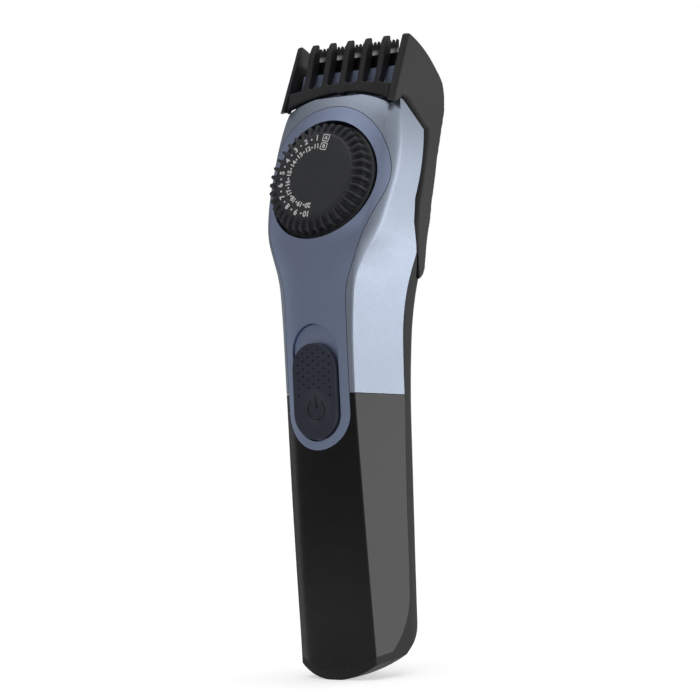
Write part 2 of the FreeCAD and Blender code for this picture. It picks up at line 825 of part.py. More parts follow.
rack_plate = block("rack_plate", (-12.4, 12.1, -15.5), (12.4, 14.9, 8.0))
rack_window = block("rack_window", (-3.65, 11.0, -13.4), (4.2, 16.0, 4.4))
rack_frame = cut("RackFrame", rack_plate, rack_window)
node("comb_rack", lean(fuse("CombRack", [rack_frame] + rack_teeth())))
for side, sign in (("right", 1), ("left", -1)):
    xs = sorted((sign * 12.4, sign * 11.2))
    lug_xs = sorted((sign * 12.4, sign * 18.2))
    cheek = block("cheek_" + side, (xs[0], 14.9, -6.0), (xs[1], 25.4, 7.0))
    lug = block("lug_" + side, (lug_xs[0], 21.6, -1.8), (lug_xs[1], 25.4, 4.8))
    node("carriage_arm_" + side, lean(fuse("CarriageArm" + side.capitalize(), [cheek, lug])))

guide_plate = block("guide_plate", (-12.2, 10.4, -17.0), (12.2, 11.7, 18.0))
guide_bore = rod("guide_bore", 4.4, (0, 9.0, 0), 4.0, BACK)
node("carriage_guide", lean(cut("CarriageGuide", guide_plate, guide_bore)))

# ---------------------------------------------------------------- comb, drawn in the head's frame

FACE = size("comb_face")
# Side of the comb as (depth, height): front edge, top, back edge, tail of the arm, lower edge.
COMB_SIDE = [
    (3.5, 20.2),
    (6.1, 40.9),
    (6.6, 41.5, 7.6, 41.6),
    (17.6, 39.3, 25.0, 34.9),
    (26.9, 31.0, 27.5, 26.7),
    (26.2, 14.0),
    (26.9, 2.3),
    (29.6, -7.5),
    (32.2, -14.0),
    (32.3, -17.3, 31.2, -18.7),
    (28.4, -13.6),
    (25.8, -10.5),
    (22.2, -5.8),
    (20.4, -0.5),
    (19.9, 8.0),
    (19.9, 19.3),
    (10.3, 24.3),
    (8.9, 24.3),
]
comb_side = prism("CombSide", "X", COMB_SIDE, FAR, FAR)


def comb_shell(name, outer, inner):
    """Both side walls as bands between an outer and an inner line, seen from the front."""
    lines = outer + inner[::-1]
    halves = []
    for word, sign in (("Right", 1.0), ("Left", -1.0)):
        points = [(sign * x, z) for x, z in lines]
        halves.append(prism(name + word, "Y", points, FAR, 60.0))
    return group(name, halves)


WALL_OUTER = [
    (15.9, 101.0),
    (16.6, 107.5),
    (17.8, 114.0),
    (18.9, 119.5),
    (19.6, 125.5),
    (19.8, 131.5),
    (19.6, 138.0),
    (19.0, 145.0),
    (18.6, 151.0),
    (18.3, 171.0),
]
WALL_INNER = [
    (15.0, 101.0),
    (15.2, 110.0),
    (16.2, 118.0),
    (17.5, 127.0),
    (17.7, 136.0),
    (17.0, 146.0),
    (16.8, 152.0),
    (16.5, 171.0),
]
comb_bands = comb_shell("CombBands", WALL_OUTER, WALL_INNER)
comb_walls = common("CombWalls", lean(group("CombSideLeaning", [comb_side])), comb_bands)

HALF_BAND = 17.4
SLOT = size("slot_bottom")
BAND = size("band_wall")
ARCH_SAG = ARCH_ROUND - math.sqrt(ARCH_ROUND**2 - HALF_BAND**2)
BAND_LOW = ARCH_TOP + 0.9
SLOT_SAG = 2.2
band = prism(
    "CombBand",
    "Y",
    [
        (-HALF_BAND, BAND_LOW - ARCH_SAG),
        (0.0, BAND_LOW, HALF_BAND, BAND_LOW - ARCH_SAG),
        (HALF_BAND, SLOT - SLOT_SAG),
        (0.0, SLOT, -HALF_BAND, SLOT - SLOT_SAG),
    ],
    -FACE,
    FACE + BAND,
)
TIP = size("tooth_tip")
TOOTH_SIDE = [
    (FACE, 25.5),
    (FACE, 35.5),
    (FACE + 0.15, 39.0, FACE + 0.7, TIP - 0.5),
    (FACE + 1.2, TIP, FACE + 1.9, TIP - 0.6),
    (FACE + 2.9, 37.0, FACE + 3.0, 33.0),
    (FACE + 2.2, 28.0, FACE + BAND, 25.5),
]
teeth = []
for index in range(-2, 3):
    middle = index * size("tooth_pitch")
    half = size("tooth_width") / 2.0
    tooth = prism("CombTooth%d" % (index + 3), "X", TOOTH_SIDE, middle + half, half - middle)
    teeth.append(tooth)
bridge = block("comb_bridge", (-17.2, 24.6, 25.4), (17.2, 26.4, 32.0))
sockets = []
for side, sign in (("right", 1), ("left", -1)):
    xs = sorted((sign * 14.0, sign * 18.35))
    sockets.append(block("comb_socket_" + side, (xs[0], 21.45, -1.95), (xs[1], 25.55, 4.95)))
socket_cut = lean(group("CombSockets", sockets))
comb_parts = [comb_walls, lean(fuse("CombFrontWhole", [band, bridge] + teeth))]
comb_whole = fuse("CombWhole", comb_parts)
node("attachment_comb", cut("AttachmentComb", comb_whole, socket_cut))

# ---------------------------------------------------------------- blade head, drawn in the head's frame

CAP_HALF = 15.8
cap_body = prism(
    "CapBody",
    "X",
    [(9.0, 24.6), (8.6, 26.0), (8.6, 33.4), (9.2, 33.8), (20.0, 33.8), (24.0, 30.0), (24.0, 24.6)],
    CAP_HALF,
    CAP_HALF,
)
cap_hollow = block("cap_hollow", (-6.5, 12.6, 20.0), (6.5, 21.5, 40.0))
cap_top = cut("CapTop", cap_body, cap_hollow)
cap_skirt = block("cap_skirt", (-12.0, 21.8, 17.5), (12.0, 22.8, 24.8))
node("head_cap", lean(fuse("HeadCap", [cap_top, cap_skirt])))

holder_block = block("holder_block", (-14.6, 8.7, 33.9), (14.6, 14.0, 37.2))
holder_gap = block("holder_gap", (-13.4, 9.6, 33.0), (13.4, 20.0, 38.0))
holder_frame = cut("HolderFrame", holder_block, holder_gap)
holder_foot_right = block("holder_foot_right", (8.0, 9.6, 33.9), (14.6, 12.2, 34.4))
holder_foot_left = block("holder_foot_left", (-14.6, 9.6, 33.9), (-8.0, 12.2, 34.4))
node("blade_holder", lean(fuse("BladeHolder", [holder_frame, holder_foot_right, holder_foot_left])))

BLADE_HALF = 13.2


def toothed_plate(name, low, root, tip, front, thick, half, teeth_count):
    """Blade plate with pointed teeth along its upper edge."""
    pitch = 2.0 * half / teeth_count
    points = [(half, low), (half, root)]
    for index in range(teeth_count):
        middle = half - pitch * (index + 0.5)
        points.append((middle + 0.16 * pitch, tip))
        points.append((middle - 0.16 * pitch, tip))
        points.append((middle - 0.5 * pitch, root))
    points.append((-half, low))
    return prism(name, "Y", points, -front, front + thick)


fixed_plate = toothed_plate("FixedPlate", 34.5, 39.4, 41.7, 9.65, 0.7, BLADE_HALF, 22)
SCREW_X = 12.0
SCREW_LEVEL = 35.7
screw_holes = []
for index, x in enumerate((-SCREW_X, SCREW_X)):
    screw_holes.append(rod("screw_hole_%d" % index, 0.62, (x, 8.0, SCREW_LEVEL), 5.0, BACK))
node("fixed_blade", lean(cut("FixedBlade", fixed_plate, group("BladeScrewHoles", screw_holes))))

moving_plate = toothed_plate("MovingPlate", 37.5, 39.2, 41.3, 10.45, 0.6, 11.6, 20)
moving_foot = block("moving_foot", (-8.5, 10.45, 34.6), (8.5, 11.05, 37.8))
node("moving_blade", lean(fuse("MovingBlade", [moving_plate, moving_foot])))

screws = []
for index, x in enumerate((-SCREW_X, SCREW_X)):
    screws.append(
        fuse(
            "BladeScrew%d" % index,
            [
                rod("blade_screw_shank_%d" % index, 0.6, (x, 9.65, SCREW_LEVEL), 2.6, BACK),
                rod("blade_screw_head_%d" % index, 1.1, (x, 10.4, SCREW_LEVEL), 0.8, BACK),
            ],
        )
    )
node("blade_screws", lean(group("BladeScrews", screws)))

spring_bar = block("blade_spring_bar", (-13.35, 12.7, 36.5), (13.35, 13.0, 37.4))
spring_pads = []
for index, x in enumerate((-9.5, 6.5)):
    spring_pads.append(block("blade_spring_pad_%d" % index, (x, 11.4, 36.6), (x + 3.0, 12.7, 37.3)))
node("blade_spring", lean(fuse("BladeSpring", [spring_bar] + spring_pads)))

# ---------------------------------------------------------------- drive, drawn in the head's frame

DRIVE = 22.4
motor_can = rod("motor_can", 6.1, (0, DRIVE, -21.0), 19.0)
motor_boss = rod("motor_boss", 2.4, (0, DRIVE, -2.0), 1.2)
motor_bore = rod("motor_bore", 1.05, (0, DRIVE, -6.0), 8.0)
node("motor", lean(cut("Motor", fuse("MotorBody", [motor_can, motor_boss]), motor_bore)))
node("motor_shaft", lean(group("MotorShaft", [rod("motor_axle", 1.0, (0, DRIVE, -5.5), 8.5)])))

ECCENTRIC = 1.0
crank_disc = rod("crank_disc", 3.0, (0, DRIVE, 1.0), 2.4)
crank_bore = rod("crank_bore", 1.0, (0, DRIVE, 0.0), 3.0)
crank_pin = rod("crank_pin", 0.8, (0, DRIVE + ECCENTRIC, 3.4), 3.2)
node("eccentric", lean(fuse("Eccentric", [cut("CrankBored", crank_disc, crank_bore), crank_pin])))

yoke_plate = block("yoke_plate", (-5.4, 17.6, 4.0), (5.4, 26.0, 5.6))
yoke_slot = block("yoke_slot", (-2.95, DRIVE - 2.2, 3.0), (2.95, DRIVE + 2.2, 7.0))
yoke_stem = block("yoke_stem", (-2.6, 17.0, 4.0), (2.6, 18.4, 36.2))
yoke_head = block("yoke_head", (-2.6, 11.05, 34.8), (2.6, 18.4, 36.2))
yoke = fuse("YokeBody", [cut("YokeSlotted", yoke_plate, yoke_slot), yoke_stem, yoke_head])
node("drive_yoke", lean(yoke))

bracket_plate = block("bracket_plate", (-9.6, 16.2, -10.0), (9.6, 29.0, -8.6))
bracket_bore = rod("bracket_bore", 6.15, (0, DRIVE, -12.0), 6.0)
node("motor_bracket", lean(cut("MotorBracket", bracket_plate, bracket_bore)))

# ---------------------------------------------------------------- handle interior

CELL_AXIS = -3.6
battery_can = rod("battery_can", 6.9, (0, CELL_AXIS, 24.0), 49.0)
battery_button = rod("battery_button", 2.6, (0, CELL_AXIS, 73.0), 1.0)
node("battery", fuse("Battery", [battery_can, battery_button]))
contact_top = block("contact_top", (-4.0, -7.6, 74.3), (4.0, 0.4, 74.8))
node("battery_contact_top", group("ContactTop", [contact_top]))
contact_base = block("contact_base", (-4.0, -7.6, 22.9), (4.0, 0.4, 23.6))
node("battery_contact_base", group("ContactBase", [contact_base]))

chassis_plate = block("chassis_plate", (-9.2, -11.9, 16.0), (9.2, -10.8, 99.0))
chassis_top = block("chassis_top", (-8.0, -11.0, 75.4), (8.0, 3.4, 76.6))
chassis_base = block("chassis_base", (-8.0, -11.0, 21.0), (8.0, 1.6, 22.2))
chassis_body = fuse("ChassisBody", [chassis_plate, chassis_top, chassis_base])
chassis_holes = []
housing_screws = []
for index, (x, z) in enumerate(BOSS_PLACES):
    chassis_holes.append(rod("chassis_hole_%d" % index, 0.85, (x, -13.0, z), 3.0, BACK))
    shank = rod("housing_shank_%d" % index, 0.8, (x, -14.0, z), 3.2, BACK)
    head = rod("housing_head_%d" % index, 1.5, (x, -10.8, z), 1.1, BACK)
    housing_screws.append(fuse("HousingScrew%d" % index, [shank, head]))
node("chassis", cut("Chassis", chassis_body, group("ChassisHoles", chassis_holes)))
node("housing_screws", group("HousingScrews", housing_screws))

board = block("board", (-6.0, -13.2, 26.0), (6.0, -12.2, 90.0))
node("circuit_board", group("CircuitBoard", [board]))
chips = [
    block("chip_control", (-3.0, -14.4, 50.0), (3.0, -13.2, 56.0)),
    block("chip_power", (-2.4, -14.2, 38.0), (2.4, -13.2, 42.0)),
    rod("coil", 2.2, (0, -15.4, 31.0), 2.2, BACK),
]
node("board_parts", group("BoardParts", chips))
contact_slide = block("contact_slide", (-2.5, -13.9, 69.5), (2.5, -13.2, 80.5))
node("switch_contact", group("SwitchContact", [contact_slide]))

socket_body = rod("socket_body", 4.4, (0, SOCKET, 4.2), 10.0)
socket_bore = rod("socket_bore", 2.0, (0, SOCKET, 3.2), 9.0)
node("charging_socket", cut("ChargingSocket", socket_body, socket_bore))

# ---------------------------------------------------------------- checks and export

doc.recompute()
for obj in doc.Objects:
    if "Invalid" in obj.State or "Error" in obj.State:
        raise SystemExit("%s failed: %s" % (obj.Name, obj.State))
for label, obj in NODES.items():
    if obj.Shape.isNull() or not obj.Shape.isValid() or not obj.Shape.Solids:
        raise SystemExit("%s has no valid shape" % label)

os.makedirs("parts", exist_ok=True)
for label, obj in NODES.items():
    obj.Shape.exportStep("parts/%s.step" % label)
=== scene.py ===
import json
import math

import bmesh
import bpy
from mathutils import Matrix, Vector


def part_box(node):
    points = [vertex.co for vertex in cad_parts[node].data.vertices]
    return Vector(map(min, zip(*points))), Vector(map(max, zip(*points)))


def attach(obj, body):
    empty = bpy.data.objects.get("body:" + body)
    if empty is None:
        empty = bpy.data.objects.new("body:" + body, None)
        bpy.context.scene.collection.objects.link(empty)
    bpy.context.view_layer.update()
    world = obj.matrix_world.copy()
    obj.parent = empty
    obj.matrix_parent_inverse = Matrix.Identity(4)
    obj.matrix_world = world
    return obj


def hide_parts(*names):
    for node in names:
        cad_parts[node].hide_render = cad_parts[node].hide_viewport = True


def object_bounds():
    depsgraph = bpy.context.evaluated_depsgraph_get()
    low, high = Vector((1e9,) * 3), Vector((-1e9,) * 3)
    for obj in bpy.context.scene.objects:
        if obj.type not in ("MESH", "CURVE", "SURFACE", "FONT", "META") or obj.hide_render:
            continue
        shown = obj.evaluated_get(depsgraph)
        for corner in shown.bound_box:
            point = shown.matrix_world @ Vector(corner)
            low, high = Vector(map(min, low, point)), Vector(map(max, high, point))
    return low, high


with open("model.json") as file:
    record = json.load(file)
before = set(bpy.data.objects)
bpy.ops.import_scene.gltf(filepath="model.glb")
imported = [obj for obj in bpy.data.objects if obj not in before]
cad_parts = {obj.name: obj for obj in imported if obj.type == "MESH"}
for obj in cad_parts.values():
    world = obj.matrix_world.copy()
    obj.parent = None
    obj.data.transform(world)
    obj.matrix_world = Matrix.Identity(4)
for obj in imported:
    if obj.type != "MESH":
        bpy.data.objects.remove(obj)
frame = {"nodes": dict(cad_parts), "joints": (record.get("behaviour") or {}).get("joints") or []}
cad_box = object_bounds()

MM = 0.001
JOINTS = {joint["name"]: joint for joint in frame["joints"]}
DIAL_CENTRE = Vector(JOINTS["dial_turn"]["pos_m"])
INWARD = Vector(JOINTS["dial_turn"]["axis"]).normalized()
UPWARD = Vector(JOINTS["comb_slide"]["axis"]).normalized()
SIDEWAYS = Vector((1.0, 0.0, 0.0))


def on_head(across, depth, height):
    """A point of the leaning head, from millimetres off the dial's centre to metres in the model."""
    return DIAL_CENTRE + (SIDEWAYS * across + INWARD * depth + UPWARD * height) * MM


# ---------------------------------------------------------------- node helpers


class Finish:
    """A node material that is built up step by step around one Principled shader."""

    def __init__(self, name):
        self.material = bpy.data.materials.new(name)
        self.material.use_nodes = True
        self.tree = self.material.node_tree
        self.shader = self.tree.nodes["Principled BSDF"]
        self.place = self.tree.nodes.new("ShaderNodeTexCoord").outputs["Object"]

    def add(self, kind, **settings):
        made = self.tree.nodes.new(kind)
        for key, value in settings.items():
            if key in made.inputs:
                made.inputs[key].default_value = value
            else:
                setattr(made, key, value)
        return made

    def join(self, start, end):
        self.tree.links.new(start, end)

    def stretched(self, scale):
        """Coordinates scaled per axis, for grain that runs one way."""
        mapping = self.add("ShaderNodeMapping")
        mapping.inputs["Scale"].default_value = scale
        self.join(self.place, mapping.inputs["Vector"])
        return mapping.outputs["Vector"]

    def noise(self, size, detail=3.0, roughness=0.5, place=None):
        """Noise whose features are about size metres wide, or size units of a stretched place."""
        made = self.add("ShaderNodeTexNoise", Scale=1.0 / size, Detail=detail, Roughness=roughness)
        self.join(place or self.place, made.inputs["Vector"])
        return made.outputs["Fac"]

    def cells(self, size):
        """Random grey value per small cell, for metal flakes and cast grain."""
        made = self.add("ShaderNodeTexVoronoi", Scale=1.0 / size)
        self.join(self.place, made.inputs["Vector"])
        grey = self.add("ShaderNodeSeparateColor")
        self.join(made.outputs["Color"], grey.inputs["Color"])
        return grey.outputs["Red"]

    def ranged(self, value, low, high, start=0.3, end=0.7):
        made = self.add("ShaderNodeMapRange")
        for key, number in (("From Min", start), ("From Max", end), ("To Min", low), ("To Max", high)):
            made.inputs[key].default_value = number
        self.join(value, made.inputs["Value"])
        return made.outputs["Result"]

    def band(self, axis, origin, low, high):
        """0 below low and 1 above high along an axis through a point."""
        made = self.add("ShaderNodeVectorMath", operation="DOT_PRODUCT")
        made.inputs[1].default_value = axis
        self.join(self.place, made.inputs[0])
        base = axis.dot(origin)
        return self.ranged(made.outputs["Value"], 0.0, 1.0, base + low, base + high)

    def mixed(self, factor, first, second):
        made = self.add("ShaderNodeMix", data_type="RGBA")
        self.join(factor, made.inputs["Factor"])
        for key, colour in ((6, first), (7, second)):
            if isinstance(colour, tuple):
                made.inputs[key].default_value = (*colour, 1.0)
            else:
                self.join(colour, made.inputs[key])
        return made.outputs[2]

    def colour(self, value):
        self.join(value, self.shader.inputs["Base Color"])

    def rough(self, value):
        self.join(value, self.shader.inputs["Roughness"])

    def bump(self, height, strength, distance):
        """Adds a bump on top of any earlier one."""
        made = self.add("ShaderNodeBump", Strength=strength, Distance=distance)
        self.join(height, made.inputs["Height"])
        socket = self.shader.inputs["Normal"]
        if socket.links:
            self.join(socket.links[0].from_socket, made.inputs["Normal"])
        self.join(made.outputs["Normal"], socket)

    def set(self, **values):
        for key, value in values.items():
            self.shader.inputs[key.replace("_", " ")].default_value = value


def shade(colour, factor):
    return tuple(min(channel * factor, 1.0) for channel in colour)


# ---------------------------------------------------------------- materials


def metallic_paint(name, colour):
    """Satin paint with fine metal flakes under a thin clear coat."""
    finish = Finish(name)
    flakes = finish.ranged(finish.cells(0.11 * MM), 0.0, 1.0, 0.25, 1.0)
    cloud = finish.ranged(finish.noise(9.0 * MM), 0.0, 1.0)
    base = finish.mixed(flakes, shade(colour, 0.86), shade(colour, 1.2))
    tint = finish.mixed(cloud, shade(colour, 0.97), shade(colour, 1.03))
    blend = finish.mixed(finish.ranged(finish.noise(2.0 * MM), 0.35, 0.65), base, tint)
    finish.colour(blend)
    finish.rough(finish.ranged(finish.noise(0.5 * MM), 0.36, 0.44))
    finish.bump(finish.noise(0.16 * MM, 2.0), 0.12, 0.02 * MM)
    finish.set(Metallic=0.8, Coat_Weight=0.2, Coat_Roughness=0.25)
    return finish.material


def moulded_plastic(name, colour, roughness, grain=0.22, depth=0.03):
    """Textured plastic: spark-eroded grain, faint flow clouds and slightly polished patches."""
    finish = Finish(name)
    cloud = finish.noise(6.0 * MM, 4.0)
    fine = finish.noise(grain * MM, 3.0, 0.6)
    finish.colour(finish.mixed(finish.ranged(cloud, 0.0, 1.0), shade(colour, 0.9), shade(colour, 1.1)))
    finish.rough(finish.ranged(fine, roughness - 0.05, roughness + 0.06))
    finish.bump(fine, 0.35, depth * MM)
    finish.set(IOR=1.48)
    return finish.material


def polished_plastic(name, colour, roughness):
    """Gloss moulding with a faint waviness and a few hair-fine wipe marks."""
    finish = Finish(name)
    cloud = finish.noise(12.0 * MM, 2.0)
    wipes = finish.noise(1.0, 4.0, 0.6, finish.stretched((180.0, 180.0, 2600.0)))
    finish.colour(finish.mixed(finish.ranged(cloud, 0.0, 1.0), shade(colour, 0.92), shade(colour, 1.08)))
    finish.rough(finish.ranged(wipes, roughness - 0.03, roughness + 0.05))
    finish.bump(cloud, 0.05, 0.05 * MM)
    finish.set(IOR=1.5)
    return finish.material


def ground_steel(name, colour, across, roughness=0.3):
    """Steel ground in one direction: long fine scratches."""
    finish = Finish(name)
    lines = finish.noise(1.0, 5.0, 0.65, finish.stretched(across))
    finish.colour(finish.mixed(finish.ranged(lines, 0.0, 1.0), shade(colour, 0.82), shade(colour, 1.12)))
    finish.rough(finish.ranged(lines, roughness - 0.08, roughness + 0.1))
    finish.bump(lines, 0.2, 0.01 * MM)
    finish.set(Metallic=1.0)
    return finish.material


# Heights up the head between which the ground strip turns into teeth with a painted shade, for the dark
# gaps between the teeth.
STRIP_TOP = 38.3
TEETH_FROM = 39.3


def blade_steel(name, colour, teeth_shade_colour):
    """Steel with fine upright grinding lines; above the ground strip the teeth get a painted shade, for
    the dark gaps between them.
    """
    finish = Finish(name)
    lines = finish.noise(1.0, 4.0, 0.6, finish.stretched((4200.0, 240.0, 240.0)))
    ground = finish.mixed(finish.ranged(lines, 0.0, 1.0), shade(colour, 0.5), shade(colour, 1.15))
    # painted shade: above the strip the teeth are coloured dark for the shadowed gaps between them
    teeth_shade_mask = finish.band(UPWARD, DIAL_CENTRE, STRIP_TOP * MM, TEETH_FROM * MM)
    finish.colour(finish.mixed(teeth_shade_mask, ground, teeth_shade_colour))
    finish.rough(finish.ranged(lines, 0.28, 0.42))
    finish.bump(lines, 0.2, 0.01 * MM)
    finish.set(Metallic=0.85)
    return finish.material


def ink(name, colour):
    """Pad-printed ink, a little uneven in cover."""
    finish = Finish(name)
    cover = finish.ranged(finish.noise(0.25 * MM, 4.0), 0.0, 1.0)
    finish.colour(finish.mixed(cover, shade(colour, 0.86), colour))
    finish.rough(finish.ranged(cover, 0.5, 0.6))
    finish.bump(cover, 0.2, 0.01 * MM)
    return finish.material


SILVER = (0.40, 0.46, 0.565)
SLATE = (0.375, 0.45, 0.65)
FLAT_GRAIN = (300.0, 4000.0, 6000.0)

FINISHES = {
    "shell": metallic_paint("shell_paint", SILVER),
    "panel": metallic_paint("panel_paint", SLATE),
    "cover": polished_plastic("cover_gloss", (0.004, 0.0042, 0.005), 0.16),
    "rear": moulded_plastic("rear_grain", (0.012, 0.013, 0.015), 0.55),
    "dial": moulded_plastic("dial_grain", (0.034, 0.036, 0.041), 0.52, 0.16, 0.02),
    "switch": moulded_plastic("switch_grain", (0.038, 0.043, 0.068), 0.5, 0.16, 0.02),
    "comb": moulded_plastic("comb_grain", (0.015, 0.015, 0.018), 0.5, 0.18, 0.015),
    "cap": polished_plastic("cap_gloss", (0.3, 0.35, 0.5), 0.12),
    "holder": polished_plastic("holder_gloss", (0.003, 0.003, 0.004), 0.3),
    "inner": moulded_plastic("inner_grain", (0.012, 0.012, 0.013), 0.45),
    "steel": ground_steel("turned_steel", (0.72, 0.73, 0.74), FLAT_GRAIN),
    # the last blade colour is painted shade on the teeth, for the dark gaps between them
    "blade": blade_steel("blade_steel", (0.42, 0.42, 0.43), (0.02, 0.02, 0.022)),
    "spring": ground_steel("spring_steel", (0.6, 0.61, 0.63), (4000.0, 400.0, 4000.0), 0.35),
    "can": ground_steel("motor_can", (0.6, 0.6, 0.62), (5000.0, 5000.0, 300.0), 0.22),
    "board": moulded_plastic("board_green", (0.02, 0.13, 0.05), 0.35, 0.4, 0.02),
    "sleeve": polished_plastic("cell_sleeve", (0.03, 0.09, 0.28), 0.22),
    "brass": ground_steel("contact_brass", (0.75, 0.58, 0.26), (500.0, 3000.0, 500.0), 0.3),
    "ink": ink("print_white", (0.95, 0.95, 0.96)),
}

LOOKS = {
    "upper_shell": "shell",
    "lower_cover": "cover",
    "front_panel": "panel",
    "rear_shell": "rear",
    "power_switch": "switch",
    "switch_bed": "panel",
    "dial_knob": "dial",
    "attachment_comb": "comb",
    "head_cap": "cap",
    "blade_holder": "holder",
    "dial_shaft": "steel",
    "detent_spring": "spring",
    "fixed_blade": "blade",
    "moving_blade": "blade",
    "blade_screws": "steel",
    "blade_spring": "spring",
    "motor": "can",
    "motor_shaft": "steel",
    "battery": "sleeve",
    "battery_contact_top": "brass",
    "battery_contact_base": "brass",
    "housing_screws": "steel",
    "circuit_board": "board",
    "switch_contact": "brass",
}


def dress(obj, look):
    """Gives every slot of a piece one finish."""
    data = obj.data
    if not data.materials:
        data.materials.append(FINISHES[look])
    for index in range(len(data.materials)):
        data.materials[index] = FINISHES[look]


EDGED = ("upper_shell", "lower_cover", "front_panel", "rear_shell", "head_cap")
EDGE_WIDTH = 0.12
SHARPEST_KEPT = 50.0


def break_edges(obj):
    """Small rounded edges on a moulded shell, so that its seams catch the light."""
    bevel = obj.modifiers.new("edges", "BEVEL")
    bevel.width = EDGE_WIDTH * MM
    bevel.segments = 2
    bevel.limit_method = "ANGLE"
    bevel.angle_limit = math.radians(SHARPEST_KEPT)
    bevel.use_clamp_overlap = True
    bevel.harden_normals = True


for name, obj in frame["nodes"].items():
    dress(obj, LOOKS.get(name, "inner"))
    if name in EDGED:
        break_edges(obj)

# ---------------------------------------------------------------- piece helpers


def add_object(name, mesh, look, body):
    obj = bpy.data.objects.new(name, mesh)
    bpy.context.scene.collection.objects.link(obj)
    dress(obj, look)
    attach(obj, body)
    return obj


def mesh_from(name, shape, smooth=True):
    bmesh.ops.recalc_face_normals(shape, faces=shape.faces)
    mesh = bpy.data.meshes.new(name)
    shape.to_mesh(mesh)
    shape.free()
    for face in mesh.polygons:
        face.use_smooth = smooth
    return mesh


def skin_rings(shape, rings):
    """Quads between neighbouring rings of points; a ring of one point closes the end."""
    made = [[shape.verts.new(point) for point in ring] for ring in rings]
    for first, second in zip(made, made[1:]):
        count = max(len(first), len(second))
        for index in range(count):
            after = (index + 1) % count
            corners = []
            for ring, order in ((first, (index, after)), (second, (after, index))):
                if len(ring) == 1:
                    corners.append(ring[0])
                else:
                    corners += [ring[order[0]], ring[order[1]]]
            shape.faces.new(corners)


def smooth_step(value):
    value = min(max(value, 0.0), 1.0)
    return value * value * (3.0 - 2.0 * value)


# ---------------------------------------------------------------- dial knob

RIDGES = 38
PER_RIDGE = 14
# Share of a ridge's half wave at which its groove begins, and over which the groove deepens.
GROOVE_START = 0.36
GROOVE_SLOPE = 0.42
# Radius, depth below the face, and how far a groove moves that point inwards and backwards.
KNOB_PROFILE = (
    (5.0, 0.0, 0.0, 0.0),
    (9.5, 0.0, 0.0, 0.0),
    (11.3, 0.0, 0.0, 0.0),
    (11.6, 0.03, 0.0, 0.0),
    (11.8, 0.16, 0.0, 0.0),
    (11.95, 0.2, 0.0, 0.1),
    (12.15, 0.22, 0.0, 0.55),
    (12.5, 0.28, 0.0, 0.95),
    (13.0, 0.36, 0.0, 1.25),
    (13.7, 0.46, 0.0, 1.45),
    (14.3, 0.58, 0.1, 1.5),
    (14.75, 0.75, 0.4, 1.4),
    (15.0, 1.0, 0.7, 1.15),
    (15.12, 1.35, 0.95, 0.8),
    (15.2, 1.9, 1.1, 0.4),
    (15.27, 2.6, 1.15, 0.1),
    (15.33, 3.3, 1.15, 0.0),
    (15.37, 3.75, 1.1, 0.0),
    (15.4, 3.95, 1.0, 0.0),
    (15.42, 4.02, 0.0, 0.0),
    (15.85, 4.08, 0.0, 0.0),
    (15.98, 4.22, 0.0, 0.0),
    (16.0, 4.5, 0.0, 0.0),
    (16.0, 5.3, 0.0, 0.0),
    (15.9, 5.4, 0.0, 0.0),
    (3.4, 5.4, 0.0, 0.0),
    (3.4, 7.1, 0.0, 0.0),
)


def make_knob():
    shape = bmesh.new()
    count = RIDGES * PER_RIDGE
    rings = [[on_head(0.0, 0.0, 0.0)]]
    for radius, depth, pull, drop in KNOB_PROFILE:
        ring = []
        for index in range(count):
            angle = 2.0 * math.pi * index / count
            wave = abs(math.sin(0.5 * RIDGES * angle))
            groove = smooth_step((wave - GROOVE_START) / GROOVE_SLOPE)
            reach = radius - pull * groove
            down = depth + drop * groove
            ring.append(on_head(reach * math.sin(angle), down, reach * math.cos(angle)))
        rings.append(ring)
    rings.append([on_head(0.0, KNOB_PROFILE[-1][1], 0.0)])
    skin_rings(shape, rings)
    knob = add_object("dial_cap", mesh_from("dial_cap", shape), "dial", "dial")
    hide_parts("dial_knob")


make_knob()

# ---------------------------------------------------------------- dial print

DIGITS = 10
DIGIT_STEP = 19.2
FIRST_DIGIT = 4.8
OUTER_RING = 10.63
INNER_RING = 8.27
OUTER_HEIGHT = 1.5
INNER_HEIGHT = 1.32
BOXED_HEIGHT = 1.0
DOT_RADIUS = 0.27
INK_LIFT = 0.025
# Letter, ring radius and angle of each boxed letter.
BOXED = (("A", OUTER_RING, -11.0), ("B", INNER_RING, -11.5))
# Half width, half height and corner radius of a box's outline, outside and inside its line.
BOX_OUTSIDE = (1.1, 1.04, 0.42)
BOX_INSIDE = (0.86, 0.8, 0.26)


def face_matrix(angle, radius):
    """Frame on the dial face: X along the ring clockwise, Y outwards, Z off the face."""
    turn = math.radians(angle)
    outward = (UPWARD * math.cos(turn) - SIDEWAYS * math.sin(turn)).normalized()
    along = outward.cross(-INWARD)
    spot = DIAL_CENTRE + outward * radius * MM
    basis = Matrix((along, outward, -INWARD)).transposed()
    return Matrix.Translation(spot) @ basis.to_4x4()


def letter_mesh(text, height):
    """Flat mesh of a short text, centred, of that letter height in millimetres."""
    data = bpy.data.curves.new("letters", "FONT")
    data.body = text
    data.align_x = "CENTER"
    data.align_y = "CENTER"
    data.size = height / 0.7 * MM
    data.resolution_u = 4
    data.offset = 0.06 * MM
    data.extrude = INK_LIFT * MM
    data.space_character = 0.95
    obj = bpy.data.objects.new("letters", data)
    bpy.context.scene.collection.objects.link(obj)
    shown = obj.evaluated_get(bpy.context.evaluated_depsgraph_get())
    mesh = bpy.data.meshes.new_from_object(shown)
    bpy.data.objects.remove(obj)
    bpy.data.curves.remove(data)
    return mesh


def dot_rings(radius, high, count=20):
    """A round dot with a broken upper edge, standing on the dial's face."""
    rings = [[Vector((0.0, 0.0, 0.0))]]
    for level, reach in ((0.0, radius), (high * 0.6, radius), (high, radius * 0.8)):
        ring = []
        for index in range(count):
            angle = 2.0 * math.pi * index / count
            ring.append(Vector((reach * math.cos(angle), reach * math.sin(angle), level)))
        rings.append(ring)
    rings.append([Vector((0.0, 0.0, high))])
    return rings


